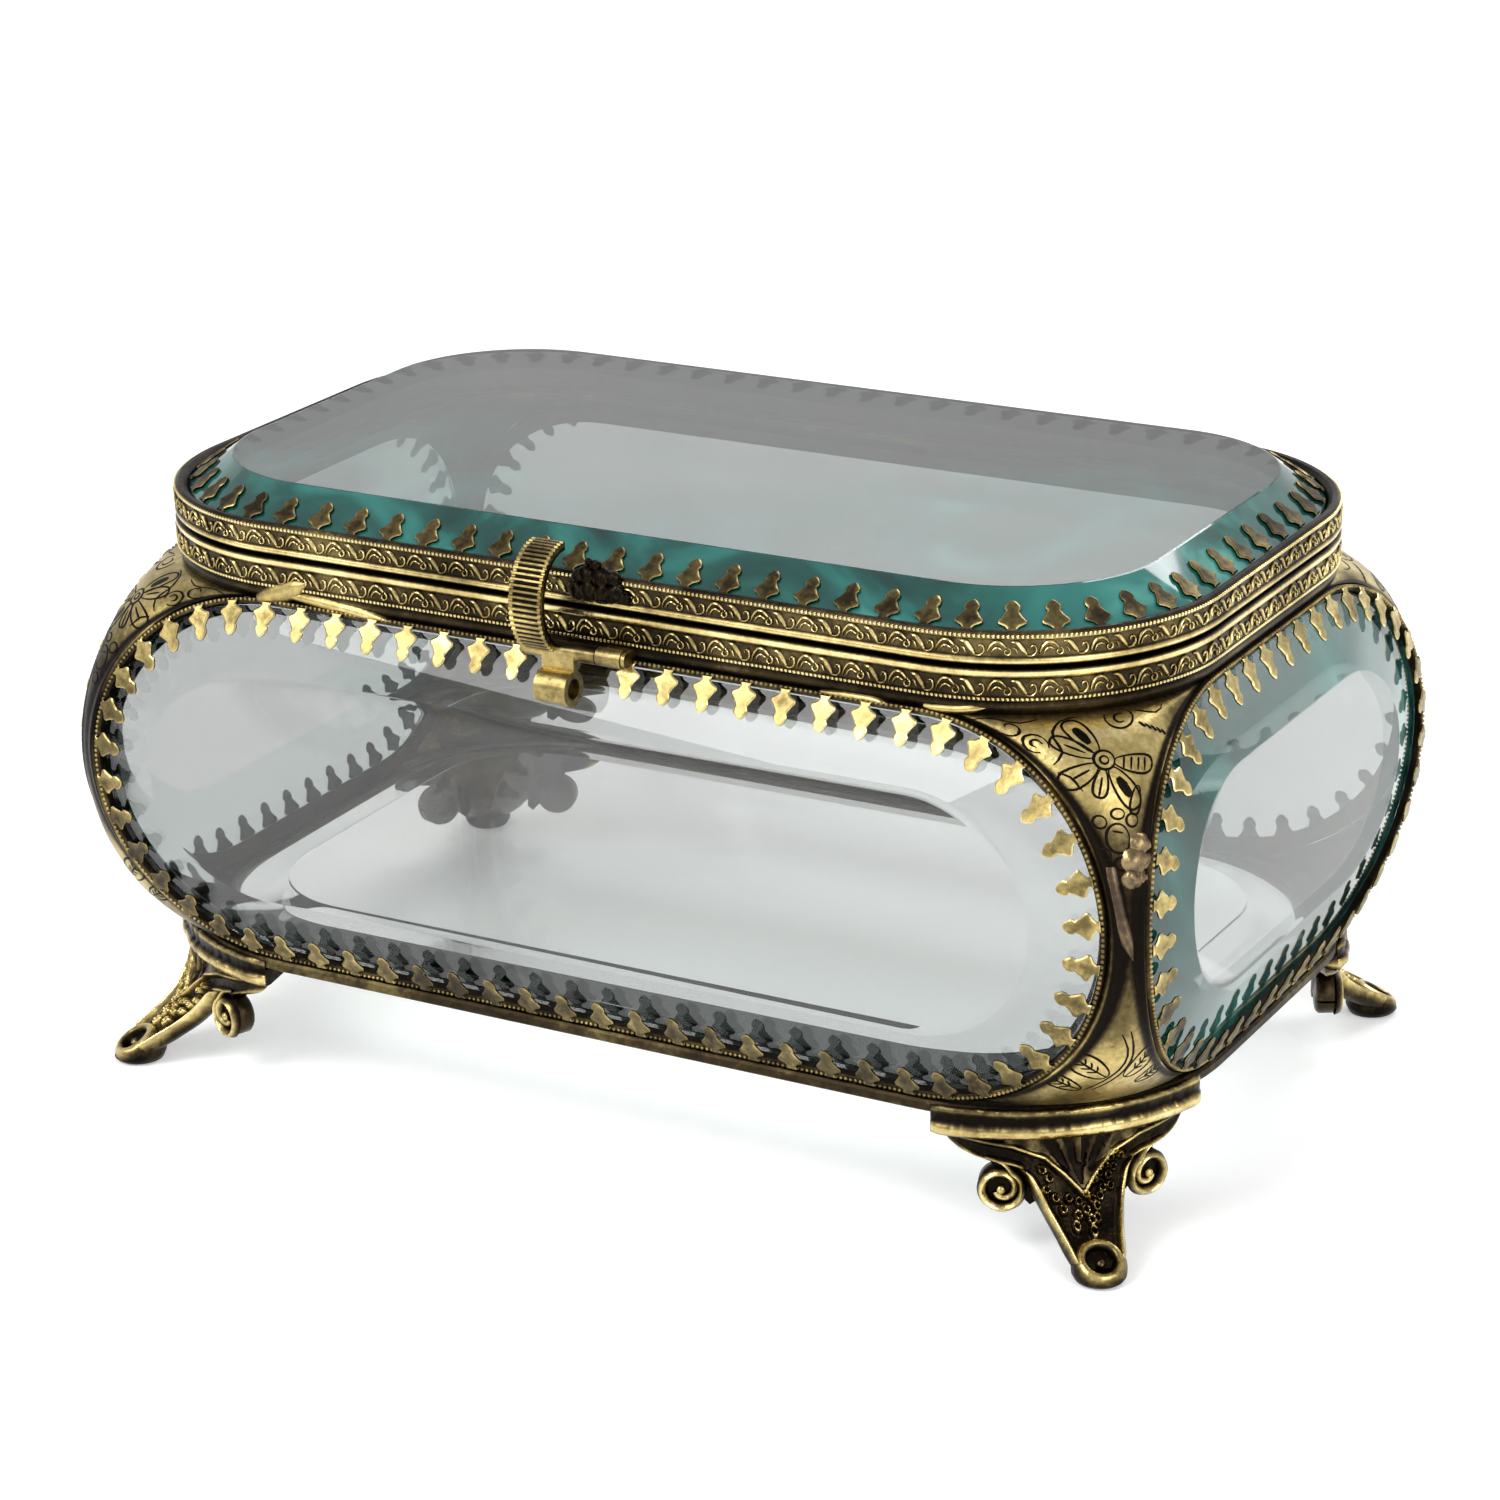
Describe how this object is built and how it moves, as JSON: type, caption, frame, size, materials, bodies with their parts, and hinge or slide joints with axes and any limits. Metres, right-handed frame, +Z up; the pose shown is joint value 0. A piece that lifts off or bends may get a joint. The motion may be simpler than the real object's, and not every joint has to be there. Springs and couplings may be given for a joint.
{
  "type": "glass keepsake casket",
  "caption": "Bevelled-glass jewellery casket in gilt brass with bulging oval panels, a hinged glass lid, a knurled front clasp and cast feet.",
  "frame": {"origin": "centre of the casket on the table plane, under its feet", "axes": "+X along the length to the right end, -Y towards the clasp at the front, +Z up"},
  "size_m": [0.154, 0.0978, 0.0812],
  "materials": {
    "clear_glass": "polished, bevelled edges with a sea-green tint",
    "rims": "embossed gilt brass strip, worn bright on the high lines and dark in the hollows",
    "bezels": "aged gilt, beaded edge",
    "claws": "stamped sheet, gilt, worn",
    "pillars": "engraved sheet, satin with dark patina",
    "cast_feet": "cast relief, gilt, dark in the hollows",
    "hinge_and_clasp": "turned and knurled, worn bright",
    "dark_catch": "blackened solder over brass"
  },
  "bodies": {
    "casket": {"bottom_frame": "rims", "bottom_glass": "clear_glass", "front_glass": "clear_glass", "back_glass": "clear_glass", "left_glass": "clear_glass", "right_glass": "clear_glass", "front_bezel": "bezels", "back_bezel": "bezels", "left_bezel": "bezels", "right_bezel": "bezels", "front_claws": "claws", "back_claws": "claws", "left_claws": "claws", "right_claws": "claws", "front_left_pillar": "pillars", "front_right_pillar": "pillars", "back_left_pillar": "pillars", "back_right_pillar": "pillars", "body_rim": "rims", "front_left_foot": "cast_feet", "front_right_foot": "cast_feet", "back_left_foot": "cast_feet", "back_right_foot": "cast_feet", "body_hinge_leaf": "hinge_and_clasp", "hinge_pin": "hinge_and_clasp", "clasp_bracket": "hinge_and_clasp", "clasp_pin": "hinge_and_clasp"},
    "lid": {"lid_rim": "rims", "lid_glass": "clear_glass", "lid_claws": "claws", "lid_hinge_leaf": "hinge_and_clasp", "lid_catch": "dark_catch"},
    "clasp": {"clasp_lever": "hinge_and_clasp"}
  },
  "joints": [
    {"name": "lid_hinge", "type": "hinge", "parent": "casket", "child": "lid", "pos_m": [0, 0.04485, 0.07325], "axis": [-1, 0, 0], "range_deg": [0, 100]},
    {"name": "clasp_pivot", "type": "hinge", "parent": "casket", "child": "clasp", "pos_m": [0, -0.0457, 0.06831], "axis": [1, 0, 0], "range_deg": [0, 13]}
  ]
}
